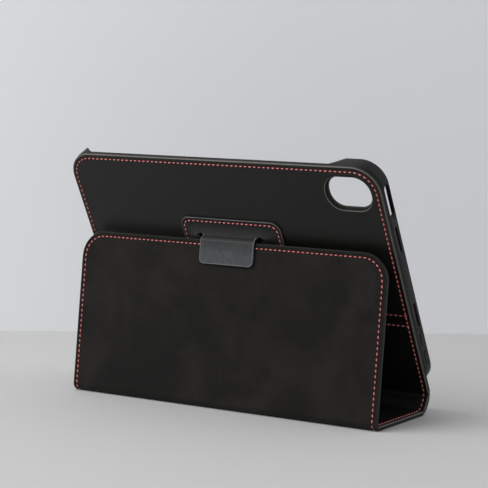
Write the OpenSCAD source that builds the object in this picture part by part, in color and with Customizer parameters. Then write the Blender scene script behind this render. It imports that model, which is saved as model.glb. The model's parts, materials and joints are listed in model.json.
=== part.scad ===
// Folio case for an 8.3 inch tablet, standing on its folded cover.
// Units are millimetres. +X is to the right seen from behind, +Y points to the screen side, +Z is up.
// The origin is the centre of the bottom of the whole case as it stands.

/* [Tablet] */
// Long side of the tablet that the shell holds
tablet_l = 195.4; // [170:0.1:220]
// Short side of the tablet
tablet_w = 134.8; // [120:0.1:150]
// Thickness of the tablet
tablet_t = 6.3; // [5:0.1:9]
// Corner radius of the tablet, seen from the front
tablet_r = 11.8; // [8:0.1:16]
// Air between the tablet and the shell, on each side
bay_clear = 0.1; // [0.05:0.05:0.5]

/* [Shell] */
// Side wall of the moulded shell
shell_wall = 1.5; // [1.2:0.1:2.5]
// Floor of the shell, behind the tablet
shell_floor = 0.8; // [0.6:0.1:1.6]
// Thickness of the lip that holds the tablet in
lip_t = 0.6; // [0.4:0.1:1.2]
// How far the lip reaches over the screen's edge
lip_reach = 1.2; // [0.6:0.1:2]
// How far the front edge of the lip steps in from the wall
rim_step = 0.4; // [0.2:0.1:0.6]

/* [Laminate] */
// Leather outer skin
leather_t = 1.0; // [0.6:0.1:1.6]
// Stiffener board inside each panel
board_t = 0.8; // [0.6:0.1:1.6]
// Brushed inner lining
lining_t = 0.6; // [0.4:0.1:1]
// Leather that surrounds the board on an outer edge
rim_w = 5.6; // [4.5:0.1:8]
// Leather that surrounds the board beside a fold
fold_rim = 1.0; // [0.6:0.1:2]
// Air around each board
board_clear = 0.1; // [0.05:0.05:0.3]
// How far the panels stand past the shell, all round
panel_over = 0.2; // [0.1:0.1:2]
// Corner radius of the panels
panel_r = 15; // [10:0.5:20]

/* [Folds] */
// Depth of the cover's floor section, fold to fold
floor_len = 52; // [45:0.5:60]
// Half length of the soft strip in each spine fold
spine_half = 2.3; // [2:0.1:3]
// Half length of the soft strip in the rear fold
rear_half = 2.6; // [2.2:0.1:3.5]
// Distance of the back's fold line below the shell
fold_drop = 2.6; // [2.4:0.1:4]
// Air between the closed cover and the shell
cover_gap = 0.6; // [0.4:0.1:2]
// How far the closed cover reaches past the back panel
cover_over = 1.7; // [0:0.1:4]

/* [Stand] */
// Lean of the back panel from upright, in degrees
lean_back = 26.4; // [20:0.2:32]
// Air between the upright panel's top edge and the tab patch
edge_gap = 2.6; // [1:0.1:4]

/* [Waist] */
// Height of the lower row of the waist seam
waist_s = 42.4; // [36:0.5:50]
// Distance between the two rows of the waist seam
waist_w = 6.5; // [5:0.1:9]

/* [Camera window] */
// Width of the window in the leather
win_w = 27.3; // [22:0.1:32]
// Height of the window in the leather
win_h = 20; // [19.2:0.1:24]
// Corner radius of the window
win_r = 9.2; // [6:0.1:9.6]
// Centre of the window in from the side of the back panel
win_in_x = 19.7; // [17:0.1:24]
// Centre of the window down from the top of the back panel
win_in_s = 16; // [13:0.1:20]
// How far the shell shows inside the leather's window
win_step = 1.0; // [0.5:0.1:2]

/* [Edge openings] */
// Reach of the stylus gap to the right, from the middle of the top wall
gap_right = 70; // [60:1:84]
// Reach of the stylus gap to the left, past the stylus's blunt end
gap_left = 84; // [60:1:84]
// Length of the ramp at each end of the stylus gap
gap_ramp = 9; // [5:0.5:11]
// Length of the top button's slot
button_l = 18.5; // [14:0.5:22]
// Width of the top button's slot
button_w = 4.8; // [4:0.1:5.2]
// Distance of the top button's slot from the middle of the side
button_s = 47; // [40:0.5:50]
// Length of each speaker slot
speaker_l = 15; // [10:0.5:20]
// Width of each speaker slot
speaker_w = 1.8; // [1.2:0.1:3]
// Distance of each speaker slot from the middle of the side
speaker_s = 23.5; // [18:0.5:27]
// Length of the charging port's slot
port_l = 13; // [10:0.5:20]
// Width of the charging port's slot
port_w = 4.8; // [4:0.1:5.2]

/* [Volume pads] */
// Length of a volume pad
pad_l = 8.6; // [6:0.1:9]
// Width of a volume pad
pad_w = 2.6; // [2:0.1:4]
// Middle of the two pads from the middle of the side
pads_s = 44.5; // [42:0.5:47]
// Distance between the two pads
pads_apart = 11.4; // [11:0.1:13]
// Travel of a pad
pad_travel = 0.4; // [0.2:0.05:0.5]
// How far a pad stands out of the wall
pad_proud = 0.2; // [0.1:0.05:0.6]
// Air around each pad
pad_clear = 0.2; // [0.1:0.05:0.3]
// Thickness of the flange that keeps the pad in
flange_t = 0.4; // [0.3:0.05:0.5]
// How far the flange is wider than the pad
flange_over = 0.5; // [0.4:0.05:0.6]

/* [Tab] */
// Width of the stitched patch
patch_w = 65; // [56:0.5:80]
// Thickness of the patch and its tongue
patch_t = 1.2; // [0.8:0.1:1.6]
// Leather of the patch above the tongue's root
patch_above = 10.5; // [8:0.5:14]
// Leather of the patch below the tongue's tip
patch_below = 7.5; // [6:0.5:12]
// Top corner radius of the patch
patch_r = 6; // [5:0.5:9]
// Distance of the patch's seam from its edge
patch_seam_in = 2.0; // [1.6:0.1:3]
// Width of the tongue
tongue_w = 35; // [28:0.5:44]
// Length of the tongue's flap, down the upright panel
flap_len = 14; // [10:0.5:18]
// Corner radius of the tongue's tip
tongue_r = 3; // [2:0.5:5]
// Width of the cut round the tongue
slit = 1.2; // [0.8:0.1:2]
// Radius of the round hole at each end of the cut
relief_r = 2.2; // [1.6:0.1:3]
// Air between the tongue and the upright panel
tongue_clear = 0.3; // [0.2:0.1:1]
// Air between the tongue and its neighbours at its two folds
tongue_gap = 0.1; // [0.05:0.05:0.3]
// Drop of the tongue's root below its bend, along the back
root_drop = 1.0; // [0:0.1:1.5]

/* [Stitching] */
// Distance of the cover's seam from its edge
seam_in = 2.7; // [2.6:0.1:4.2]
// Width of the thread
thread_w = 0.6; // [0.4:0.1:0.9]
// Depth of the thread's groove
thread_deep = 0.3; // [0.2:0.05:0.35]
// How far the thread stands out of the leather
thread_proud = 0.15; // [0.05:0.05:0.3]

/* [Magnets] */
// Length of a wake magnet
magnet_l = 12; // [8:0.5:13]
// Width of a wake magnet
magnet_w = 5; // [3:0.5:8]
// Distance between neighbouring wake magnets
magnet_pitch = 18; // [14:1:20]
// Middle of the row of magnets in from the panel's side
magnet_in_x = 55.5; // [40:0.5:79]
// Distance of the magnets from the upright panel's free edge
magnet_in = 14; // [11:1:24]
// Number of magnets in the row
magnet_n = 3; // [1:1:3]

/* [Hidden] */
$fn = 64;
eps = 0.01;
flange_air = 0.05;
waist_rim = 0.5;

// Laminate and shell
lam = leather_t + board_t + lining_t;
strip_t = leather_t + lining_t;
bay_l = tablet_l + 2 * bay_clear;
bay_w = tablet_w + 2 * bay_clear;
bay_t = tablet_t + bay_clear;
bay_r = tablet_r + bay_clear;
shell_l = bay_l + 2 * shell_wall;
shell_w = bay_w + 2 * shell_wall;
shell_r = bay_r + shell_wall;
shell_t = shell_floor + bay_t + lip_t;
panel_w = shell_l + 2 * panel_over;
back_h = shell_w + 2 * panel_over;
shell_mid = back_h / 2;
side_x = shell_l / 2;

// Folds, as points in the Y-Z plane: V is the rear corner, A and B the ends of the spine
spine_len = lam + shell_t + cover_gap;
upright_len = fold_drop + back_h + cover_over - floor_len;
spine_turn = (90 + lean_back) / 2;
spine_phi = 180 + lean_back - spine_turn;
corner_v = [0, lam / 2];
fold_a = corner_v + [floor_len, 0];
fold_b = fold_a + spine_len * [sin(spine_phi), -cos(spine_phi)];
up_dir = [-sin(lean_back), cos(lean_back)];
in_dir = [cos(lean_back), sin(lean_back)];
back_foot = fold_b + fold_drop * up_dir - lam / 2 * in_dir;

// The upright panel leans until its top edge is edge_gap short of the tab patch
reach = in_dir * (back_foot - corner_v) - patch_t - edge_gap;
upright_r = norm([upright_len, lam / 2]);
lean_rear = asin(reach / upright_r) - lean_back - atan2(lam / 2, upright_len);
rear_turn = 90 + lean_rear;
rear_bend_r = rear_half / tan(rear_turn / 2);

// Tongue: it leaves the patch at root_p, crosses the upright panel's edge and bends down at bend_p
tongue_off = tongue_clear + patch_t / 2;
upright_dir = [sin(lean_rear), cos(lean_rear)];
upright_out = [-cos(lean_rear), sin(lean_rear)];
bend_p = corner_v + (upright_len + tongue_off) * upright_dir + (lam / 2 + tongue_off) * upright_out;
root_s = (bend_p - back_foot) * up_dir - root_drop;
root_p = back_foot + root_s * up_dir - patch_t / 2 * in_dir;
bridge_len = norm(bend_p - root_p);
bridge_lean = atan2(-(bend_p - root_p)[0], (bend_p - root_p)[1]);
tongue_len = bridge_len + flap_len;
patch_top = root_s + patch_above;
patch_foot = root_s - tongue_len - slit - patch_below;
slit_top = root_s + patch_t / 2 / tan((bridge_lean - lean_back) / 2) + tongue_gap;

// Ends of the sections, and the board-free band under the waist seam
back_end = spine_half - fold_drop;
spine_z1 = spine_len - spine_half;
floor_z1 = floor_len - rear_half;
waist_top = waist_s + waist_w;
waist_air = thread_w / 2 + waist_rim;
magnet_x = panel_w / 2 - magnet_in_x;

// Window and side features, in the back panel's own frame
win_x = panel_w / 2 - win_in_x;
win_s = back_h - win_in_s;
bay_mid_t = lam + shell_floor + bay_t / 2;
flange_x = side_x - shell_wall + pad_travel;

// Bottom centre of the standing case
top_p = back_foot + back_h * up_dir;
front_p = back_foot + (panel_over + rim_step) * up_dir + (lam + shell_t) * in_dir;
mid_y = (min(top_p[0], -lam / 2) + front_p[0]) / 2;

leather_c = [0.075, 0.075, 0.078];
lining_c = [0.13, 0.125, 0.12];
shell_c = [0.10, 0.10, 0.095];
board_c = [0.45, 0.42, 0.38];
thread_c = [0.62, 0.12, 0.14];
tongue_c = [0.22, 0.23, 0.24];
magnet_c = [0.6, 0.6, 0.62];

// ---- Frames ----

// A panel's frame: +Z runs along the cover, +Y is its leather side and Y = 0 is mid-thickness
module along(fold, phi) {
    translate([0, fold[0] - mid_y, fold[1]]) rotate([phi, 0, 0]) children();
}

// The back panel's frame: +Z runs up the panel from the shell's end, +Y is depth from the leather face
module on_back() {
    along(back_foot, lean_back) children();
}

module on_spine() {
    along(fold_b, spine_phi) children();
}

module on_floor() {
    along(fold_a, 90) children();
}

module on_upright() {
    along(corner_v, -lean_rear) children();
}

// Stands a flat outline up in the X-Z plane and gives it depth from y0 to y1
module slab(y0, y1) {
    translate([0, y1, 0]) rotate([90, 0, 0]) linear_extrude(y1 - y0) children();
}

// ---- Outlines ----

module round_rect(w, h, r) {
    square([w - 2 * r, h], center = true);
    square([w, h - 2 * r], center = true);
    for (x = [-1, 1], y = [-1, 1])
        translate([x * (w / 2 - r), y * (h / 2 - r)]) circle(r);
}

// Straight at the bottom, with two rounded top corners
module arch(w, z0, z1, r) {
    translate([-w / 2, z0]) square([w, z1 - z0 - r]);
    translate([-w / 2 + r, z0]) square([w - 2 * r, z1 - z0]);
    for (x = [-1, 1]) translate([x * (w / 2 - r), z1 - r]) circle(r);
}

// A seam that follows the sides and the top of an arch, its middle inset from the edge
module arch_seam(w, z0, z1, r, inset, extra = 0) {
    a = inset - thread_w / 2 - extra;
    b = inset + thread_w / 2 + extra;
    difference() {
        arch(w - 2 * a, z0, z1 - a, r - a);
        translate([0, -eps]) arch(w - 2 * b, z0, z1 - b + eps, r - b);
    }
}

// The two side seams of a section without a free end
module side_seams(z0, z1) {
    for (x = [-1, 1]) translate([x * (panel_w / 2 - seam_in) - thread_w / 2, z0])
        square([thread_w, z1 - z0]);
}

module window_outline(grow) {
    translate([win_x, win_s]) round_rect(win_w + 2 * grow, win_h + 2 * grow, win_r + grow);
}

// ---- Layers of a section, in the section's own frame ----

module leather_layer() {
    slab(lam / 2 - leather_t, lam / 2) children();
}

module board_layer(grow = 0) {
    slab(-lam / 2 + lining_t - grow, lam / 2 - leather_t) children();
}

module lining_layer() {
    slab(-lam / 2, -lam / 2 + lining_t) children();
}

// A seam shows on both sides: it stands over the leather by proud and under the lining by below
module seam_layers(proud, below) {
    slab(lam / 2 - thread_deep, lam / 2 + proud) children();
    slab(-lam / 2 - below, -lam / 2 + thread_deep) children();
}

module seam_groove() {
    seam_layers(eps, eps) children();
}

module seam_thread() {
    seam_layers(thread_proud, 0) children();
}

// Leather skin with its turned edge standing round the board
module leather_skin() {
    difference() {
        union() {
            leather_layer() children(0);
            board_layer() children(0);
        }
        board_layer(eps) children(1);
        seam_groove() children(2);
    }
}

// A straight section between two folds
module section(z0, z1) {
    translate([-panel_w / 2, z0]) square([panel_w, z1 - z0]);
}

module section_board(z0, z1, air) {
    translate([-panel_w / 2 + rim_w + air, z0 + fold_rim + air])
        square([panel_w - 2 * (rim_w + air), z1 - z0 - 2 * (fold_rim + air)]);
}

// Soft strip bent about a fold line, with half its length on each side of it
module crease(half, turn) {
    bend_r = half / tan(turn / 2);
    translate([0, bend_r, -half]) rotate([90, 0, -90])
        rotate_extrude(angle = turn)
            translate([bend_r - strip_t / 2, -panel_w / 2]) square([strip_t, panel_w]);
}

// ---- Shell ----

module shell_outline(inset) {
    translate([0, shell_mid]) round_rect(shell_l - 2 * inset, shell_w - 2 * inset, shell_r - inset);
}

// A slot through a side wall, at height s from the middle of the side
module side_slot(side, s, l, w, t = bay_mid_t) {
    translate([side * side_x, t, shell_mid + s]) rotate([0, 90, 0])
        linear_extrude(4 * shell_wall, center = true) {
            square([l - w, w], center = true);
            for (z = [-1, 1]) translate([z * (l - w) / 2, 0]) circle(w / 2);
        }
}

// Cuts the top wall and its lip down to the bay's floor, with a ramp at each end
module stylus_gap() {
    low = lam + shell_floor;
    high = lam + shell_t + eps;
    translate([0, 0, shell_mid]) linear_extrude(back_h - shell_mid)
        polygon([[-gap_left, low], [gap_right, low], [gap_right + gap_ramp, high],
                 [-gap_left - gap_ramp, high]]);
}

// Hole for a pad, with a pocket behind it for the flange at rest and when it is pressed
module pad_hole(s) {
    grow = 2 * pad_clear;
    pocket_x = flange_x - pad_travel - lip_reach;
    side_slot(1, s, pad_l + grow, pad_w + grow);
    translate([pocket_x, bay_mid_t - pad_w / 2 - flange_over - pad_clear,
               shell_mid + s - pad_l / 2 - flange_over - pad_clear])
        cube([flange_x + flange_t + flange_air - pocket_x, pad_w + 2 * flange_over + grow,
              pad_l + 2 * flange_over + grow]);
}

module shell() {
    color(shell_c) on_back() difference() {
        union() {
            slab(lam, lam + shell_t - rim_step) shell_outline(0);
            slab(lam, lam + shell_t) shell_outline(rim_step);
        }
        slab(lam + shell_floor, lam + shell_floor + bay_t)
            translate([0, shell_mid]) round_rect(bay_l, bay_w, bay_r);
        slab(lam + shell_floor, lam + shell_t + eps) translate([0, shell_mid])
            round_rect(bay_l - 2 * lip_reach, bay_w - 2 * lip_reach, bay_r - lip_reach);
        slab(lam - eps, lam + shell_floor + eps) window_outline(-win_step);
        stylus_gap();
        side_slot(1, button_s, button_l, button_w);
        side_slot(-1, 0, port_l, port_w);
        for (side = [-1, 1], s = [-1, 1]) side_slot(side, s * speaker_s, speaker_l, speaker_w);
        for (i = [-1, 1]) pad_hole(-pads_s + i * pads_apart / 2);
    }
}

// A pad that slides in the right wall, with a flange behind the wall
module pad(i) {
    s = -pads_s + i * pads_apart / 2;
    color(shell_c) on_back() translate([0, bay_mid_t, shell_mid + s]) {
        translate([flange_x + flange_t, 0, 0]) rotate([0, 90, 0])
            linear_extrude(side_x + pad_proud - flange_x - flange_t) {
                square([pad_l - pad_w, pad_w], center = true);
                for (z = [-1, 1]) translate([z * (pad_l - pad_w) / 2, 0]) circle(pad_w / 2);
            }
        translate([flange_x + flange_t / 2, 0, 0])
            cube([flange_t, pad_w + 2 * flange_over, pad_l + 2 * flange_over], center = true);
    }
}

module volume_up() {
    pad(1);
}

module volume_down() {
    pad(-1);
}

// ---- Back panel ----

module back_outline() {
    arch(panel_w, back_end, back_h, panel_r);
}

module back_seam(extra = 0) {
    arch_seam(panel_w, back_end, back_h, panel_r, seam_in, extra);
}

module waist_rows() {
    difference() {
        for (s = [waist_s, waist_top])
            translate([-panel_w / 2, s - thread_w / 2]) square([panel_w, thread_w]);
        back_seam(thread_w / 2);
    }
}

module back_pocket_upper(air) {
    w = panel_w - 2 * (rim_w + air);
    difference() {
        arch(w, waist_top + waist_air + air, back_h - rim_w - air, panel_r - rim_w - air);
        window_outline(fold_rim + air);
    }
}

module back_pocket_lower(air) {
    z0 = back_end + fold_rim + air;
    translate([-panel_w / 2 + rim_w + air, z0])
        square([panel_w - 2 * (rim_w + air), waist_s - waist_air - air - z0]);
}

module back_leather() {
    color(leather_c) on_back() difference() {
        slab(0, leather_t + board_t) difference() {
            back_outline();
            window_outline(0);
        }
        slab(leather_t, leather_t + board_t + eps) {
            back_pocket_upper(0);
            back_pocket_lower(0);
        }
        slab(-eps, thread_deep) {
            back_seam();
            waist_rows();
        }
    }
}

module back_board_upper() {
    color(board_c) on_back() slab(leather_t, leather_t + board_t) back_pocket_upper(board_clear);
}

module back_board_lower() {
    color(board_c) on_back() slab(leather_t, leather_t + board_t) back_pocket_lower(board_clear);
}

module back_lining() {
    color(lining_c) on_back() slab(leather_t + board_t, lam) difference() {
        back_outline();
        window_outline(0);
    }
}

module back_thread() {
    color(thread_c) on_back() slab(-thread_proud, thread_deep) back_seam();
}

module waist_thread() {
    color(thread_c) on_back() slab(-thread_proud, thread_deep) waist_rows();
}

// ---- Tab ----

module tab_seam() {
    arch_seam(patch_w, patch_foot, patch_top, patch_r, patch_seam_in);
}

module tab_patch() {
    win_foot = root_s - tongue_len - slit;
    color(leather_c) on_back() difference() {
        slab(-patch_t, 0) arch(patch_w, patch_foot, patch_top, patch_r);
        slab(-patch_t - eps, eps) {
            translate([-tongue_w / 2 - slit, win_foot])
                square([tongue_w + 2 * slit, slit_top - win_foot]);
            for (x = [-1, 1]) translate([x * (tongue_w / 2 + relief_r / 2), root_s]) circle(relief_r);
        }
        slab(-patch_t - eps, -patch_t + thread_deep) tab_seam();
    }
}

module tab_thread() {
    color(thread_c) on_back() slab(-patch_t - thread_proud, -patch_t + thread_deep) tab_seam();
}

// From the patch over the upright panel's top edge, with a rounded end at the bend
module tab_bridge() {
    color(tongue_c) along(root_p, bridge_lean) translate([-tongue_w / 2, 0, 0]) {
        translate([0, -patch_t / 2, tongue_gap]) cube([tongue_w, patch_t, bridge_len - tongue_gap]);
        translate([0, 0, bridge_len]) rotate([0, 90, 0]) cylinder(d = patch_t, h = tongue_w);
    }
}

// Down the upright panel's outer face
module tab_flap() {
    color(tongue_c) along(bend_p, 180 - lean_rear) slab(-patch_t / 2, patch_t / 2)
        arch(tongue_w, patch_t / 2 + tongue_gap, flap_len, tongue_r);
}

// ---- Spine ----

module spine_leather() {
    color(leather_c) on_spine() leather_skin() {
        section(spine_half, spine_z1);
        section_board(spine_half, spine_z1, 0);
        side_seams(spine_half, spine_z1);
    }
}

module spine_board() {
    color(board_c) on_spine() board_layer() section_board(spine_half, spine_z1, board_clear);
}

module spine_lining() {
    color(lining_c) on_spine() difference() {
        lining_layer() section(spine_half, spine_z1);
        seam_groove() side_seams(spine_half, spine_z1);
    }
}

module spine_thread() {
    color(thread_c) on_spine() seam_thread() side_seams(spine_half, spine_z1);
}

module spine_crease() {
    color(leather_c) along(fold_b, 180 + lean_back) crease(spine_half, spine_turn);
}

// ---- Floor section ----

module floor_crease() {
    color(leather_c) on_spine() translate([0, 0, spine_len]) crease(spine_half, spine_turn);
}

module floor_leather() {
    color(leather_c) on_floor() leather_skin() {
        section(spine_half, floor_z1);
        section_board(spine_half, floor_z1, 0);
        side_seams(spine_half, floor_z1);
    }
}

module floor_board() {
    color(board_c) on_floor() board_layer() section_board(spine_half, floor_z1, board_clear);
}

module floor_lining() {
    color(lining_c) on_floor() difference() {
        lining_layer() section(spine_half, floor_z1);
        seam_groove() side_seams(spine_half, floor_z1);
    }
}

module floor_thread() {
    color(thread_c) on_floor() seam_thread() side_seams(spine_half, floor_z1);
}

// ---- Upright section ----

module rear_crease() {
    color(leather_c) on_floor() translate([0, 0, floor_len]) crease(rear_half, rear_turn);
}

module upright_outline() {
    arch(panel_w, rear_half, upright_len, panel_r);
}

module upright_seam() {
    arch_seam(panel_w, rear_half, upright_len, panel_r, seam_in);
}

module upright_pocket(air) {
    arch(panel_w - 2 * (rim_w + air), rear_half + fold_rim + air, upright_len - rim_w - air,
         panel_r - rim_w - air);
}

module magnet_spots(air) {
    for (i = [0 : magnet_n - 1])
        translate([magnet_x + (i - (magnet_n - 1) / 2) * magnet_pitch, upright_len - magnet_in])
            square([magnet_l + 2 * air, magnet_w + 2 * air], center = true);
}

module upright_leather() {
    color(leather_c) on_upright() leather_skin() {
        upright_outline();
        upright_pocket(0);
        upright_seam();
    }
}

module upright_board() {
    color(board_c) on_upright() board_layer() difference() {
        upright_pocket(board_clear);
        magnet_spots(board_clear);
    }
}

module wake_magnets() {
    color(magnet_c) on_upright() board_layer() magnet_spots(0);
}

module upright_lining() {
    color(lining_c) on_upright() difference() {
        lining_layer() upright_outline();
        seam_groove() upright_seam();
    }
}

module upright_thread() {
    color(thread_c) on_upright() seam_thread() upright_seam();
}

shell();
back_leather();
back_board_upper();
back_board_lower();
back_lining();
back_thread();
waist_thread();
tab_patch();
tab_thread();
tab_bridge();
tab_flap();
volume_up();
volume_down();
spine_leather();
spine_board();
spine_lining();
spine_thread();
spine_crease();
floor_crease();
floor_leather();
floor_board();
floor_lining();
floor_thread();
rear_crease();
upright_leather();
upright_board();
upright_lining();
upright_thread();
wake_magnets();
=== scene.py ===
import json
from math import acos, asin, atan, atan2, cos, degrees, exp, pi, radians, sin, sqrt, tan

import bmesh
import bpy
from mathutils import Matrix, Vector
from mathutils.geometry import delaunay_2d_cdt


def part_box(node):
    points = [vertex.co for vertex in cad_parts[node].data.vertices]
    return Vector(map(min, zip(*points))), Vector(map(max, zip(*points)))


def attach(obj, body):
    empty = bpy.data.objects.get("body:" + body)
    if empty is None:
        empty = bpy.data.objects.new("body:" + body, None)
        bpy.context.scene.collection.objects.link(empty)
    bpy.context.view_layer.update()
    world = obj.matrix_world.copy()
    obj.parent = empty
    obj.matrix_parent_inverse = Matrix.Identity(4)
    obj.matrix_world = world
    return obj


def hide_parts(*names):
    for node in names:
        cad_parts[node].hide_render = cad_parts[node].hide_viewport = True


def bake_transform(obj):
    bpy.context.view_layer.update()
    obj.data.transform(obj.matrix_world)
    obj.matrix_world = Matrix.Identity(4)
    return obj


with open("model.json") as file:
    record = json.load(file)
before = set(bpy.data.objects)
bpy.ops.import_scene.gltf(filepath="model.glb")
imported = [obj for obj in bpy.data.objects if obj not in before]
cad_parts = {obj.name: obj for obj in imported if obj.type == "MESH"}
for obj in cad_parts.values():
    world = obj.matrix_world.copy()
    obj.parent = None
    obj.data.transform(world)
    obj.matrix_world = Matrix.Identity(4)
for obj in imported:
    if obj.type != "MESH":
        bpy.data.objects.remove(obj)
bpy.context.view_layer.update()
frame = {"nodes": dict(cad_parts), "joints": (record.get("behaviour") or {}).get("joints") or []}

# ---- Cover sheet ----
# The whole cover is one laminated sheet: leather outside, stiffener boards, brushed lining inside.
# It runs down the back, round the spine, along the floor and up the stand. Each stretch has a heading,
# the angle that it runs at, and its leather side points along the heading's normal.
mm = 0.001
joints = {joint["name"]: joint for joint in frame["joints"]}
turns = [joints[name]["range_deg"][1] for name in ("spine_fold", "floor_fold", "rear_fold")]
back_lean = turns[0] + turns[1] - 270
BACK = 180 + back_lean
SPINE = turns[0]
FLOOR = 90
UPRIGHT = 90 - turns[2]
spine_fold = Vector(joints["spine_fold"]["pos_m"])
floor_fold = Vector(joints["floor_fold"]["pos_m"])


def along(heading):
    angle = radians(heading)
    return Vector((0, -sin(angle), cos(angle)))


def outward(heading):
    angle = radians(heading)
    return Vector((0, cos(angle), sin(angle)))


def extent(node, start, heading):
    """How far a CAD node reaches along a stretch of the sheet, and through it: (s0, s1), (t0, t1)."""
    points = [vertex.co - start for vertex in frame["nodes"][node].data.vertices]
    s = [point.dot(along(heading)) for point in points]
    t = [point.dot(outward(heading)) for point in points]
    return (min(s), max(s)), (min(t), max(t))


def stretch(start, heading):
    """Places (across, along, out of the middle of the sheet) in the row frame."""
    return lambda x, s, t: start + Vector((x, 0, 0)) + s * along(heading) + t * outward(heading)


# ---- Leather and lining finishes ----
# Smooth black leather with fine pores, and a brushed microfibre lining. Both have a paler turned edge,
# partly worn edge paint and partly painted highlight, with painted shade in their seam grooves.
def plug(tree, node, **sockets):
    """Sets a node's sockets to values, or links them to (node, socket) pairs. i2 is the third socket."""
    for name, value in sockets.items():
        socket = node.inputs[name.replace("_", " ") if not name[-1].isdigit() else int(name[1:])]
        if isinstance(value, tuple) and isinstance(value[0], bpy.types.Node):
            tree.links.new(value[0].outputs[value[1]], socket)
        else:
            socket.default_value = value


def add(tree, kind, settings=None, **sockets):
    node = tree.nodes.new(kind)
    for name, value in (settings or {}).items():
        setattr(node, name, value)
    plug(tree, node, **sockets)
    return node


def maths(tree, operation, *values, clamp=False):
    given = {f"i{k}": value for k, value in enumerate(values)}
    return add(tree, "ShaderNodeMath", {"operation": operation, "use_clamp": clamp}, **given), 0


def blend_colour(tree, factor, a, b):
    node = add(tree, "ShaderNodeMix", {"data_type": "RGBA"}, i0=factor, i6=a, i7=b)
    return node, 2


def noise(tree, place, scale, detail, output="Fac", **more):
    return add(tree, "ShaderNodeTexNoise", Vector=place, Scale=scale, Detail=detail, **more), output


def remap(tree, value, low, high, to_low=0, to_high=1, settings=None):
    return add(tree, "ShaderNodeMapRange", settings, Value=value, From_Min=low, From_Max=high,
               To_Min=to_low, To_Max=to_high), 0


def attribute(tree, name, output="Fac"):
    return add(tree, "ShaderNodeAttribute", {"attribute_name": name}), output


def bump(tree, height, strength, distance):
    return add(tree, "ShaderNodeBump", Height=height, Strength=strength, Distance=distance), 0


smooth_step = {"interpolation_type": "SMOOTHSTEP"}


def vector_maths(tree, operation, **sockets):
    return add(tree, "ShaderNodeVectorMath", {"operation": operation}, **sockets), 0


def pores(tree, place, scale):
    """The height of smooth leather: small warped cells with fine wrinkles between them."""
    shift = vector_maths(tree, "SCALE", i0=noise(tree, place, 260, 2, "Color"), Scale=0.0011)
    warped = vector_maths(tree, "ADD", i0=place, i1=shift)
    cells = add(tree, "ShaderNodeTexVoronoi", {"feature": "DISTANCE_TO_EDGE"}, Vector=warped, Scale=scale)
    return maths(tree, "MULTIPLY_ADD", remap(tree, (cells, "Distance"), 0, 0.22, settings=smooth_step),
                 0.6, noise(tree, place, 3800, 3))


def worn_lit_and_shaded_edges(tree, place, tone, edge, amount=0.8, seam_and_border_darkening=0):
    """Tints the edges marked by the mesh's rim values paler, in a slightly broken line: partly worn edge
    paint, partly painted highlight.
    Values below 0 darken the colour: painted shade in seam grooves, and darker along some borders."""
    rim = attribute(tree, "rim")
    broken = maths(tree, "MULTIPLY_ADD", noise(tree, place, 180, 3), 0.5, 0.72)
    share = maths(tree, "MULTIPLY", maths(tree, "MULTIPLY", rim, broken, clamp=True), amount, clamp=True)
    # Painted shade: values below 0 darken the colour in seam grooves, and along some borders.
    flat = maths(tree, "MAXIMUM", maths(tree, "MULTIPLY", rim, -1.0), 0.0)
    kept = maths(tree, "MULTIPLY_ADD", maths(tree, "MULTIPLY", flat, seam_and_border_darkening), -1.0, 1.0)
    return vector_maths(tree, "SCALE", i0=blend_colour(tree, share, tone, edge), Scale=kept)


def new_finish(name):
    finish = bpy.data.materials.new(name)
    finish.use_nodes = True
    tree = finish.node_tree
    return finish, tree, tree.nodes["Principled BSDF"], (add(tree, "ShaderNodeTexCoord"), "Object")


def clouded_finish(name, scale, detail, a, b):
    """A finish that wanders between two colours, with the noise that does so."""
    finish, tree, shader, place = new_finish(name)
    cloud = noise(tree, place, scale, detail)
    plug(tree, shader, Base_Color=blend_colour(tree, cloud, a, b))
    return finish, tree, shader, cloud


def leather_finish(name, dark, light, edge, gloss, cells, depth):
    finish, tree, shader, place = new_finish(name)
    height = pores(tree, place, cells)
    tone = blend_colour(tree, noise(tree, place, 30, 5, Roughness=0.6), dark, light)
    plug(tree, shader, Base_Color=worn_lit_and_shaded_edges(tree, place, tone, edge, seam_and_border_darkening=0.5),
         Roughness=remap(tree, height, 0.2, 1.1, gloss[1], gloss[0]), Specular_IOR_Level=0.3,
         Normal=bump(tree, height, depth, 0.00012))
    return finish


leather = leather_finish(
    "black_leather", dark=(0.0044, 0.0044, 0.0036, 1), light=(0.0068, 0.0068, 0.0057, 1),
    edge=(0.2, 0.183, 0.17, 1), gloss=(0.42, 0.56), cells=1000, depth=0.28)
fold_leather = leather_finish(
    "creased_leather", dark=(0.0056, 0.0056, 0.005, 1), light=(0.009, 0.009, 0.0082, 1),
    edge=(0.14, 0.125, 0.115, 1), gloss=(0.4, 0.56), cells=800, depth=0.5)

# Brushed microfibre: broad patches where the pile lies another way, over fine short fibres
lining, tree, shader, place = new_finish("brushed_lining")
broad = noise(tree, place, 24, 6, Roughness=0.62, Distortion=0.9)
patch = remap(tree, broad, 0.36, 0.66, settings=smooth_step)
strokes = add(tree, "ShaderNodeMapping", Vector=place, Scale=(1.0, 1.0, 0.22))
pile = maths(tree, "MULTIPLY_ADD", noise(tree, (strokes, 0), 420, 3), 0.35,
             maths(tree, "MULTIPLY", patch, 0.65))
tone = blend_colour(tree, pile, (0.0031, 0.0028, 0.0022, 1), (0.0152, 0.0139, 0.0116, 1))
plug(tree, shader, Base_Color=worn_lit_and_shaded_edges(tree, place, tone, (0.03, 0.03, 0.027, 1), seam_and_border_darkening=0.3),
     Normal=bump(tree, noise(tree, place, 5200, 2), 0.35, 0.00008), Roughness=0.82,
     Specular_IOR_Level=0.2, Sheen_Weight=0.04, Sheen_Roughness=0.5)

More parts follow.
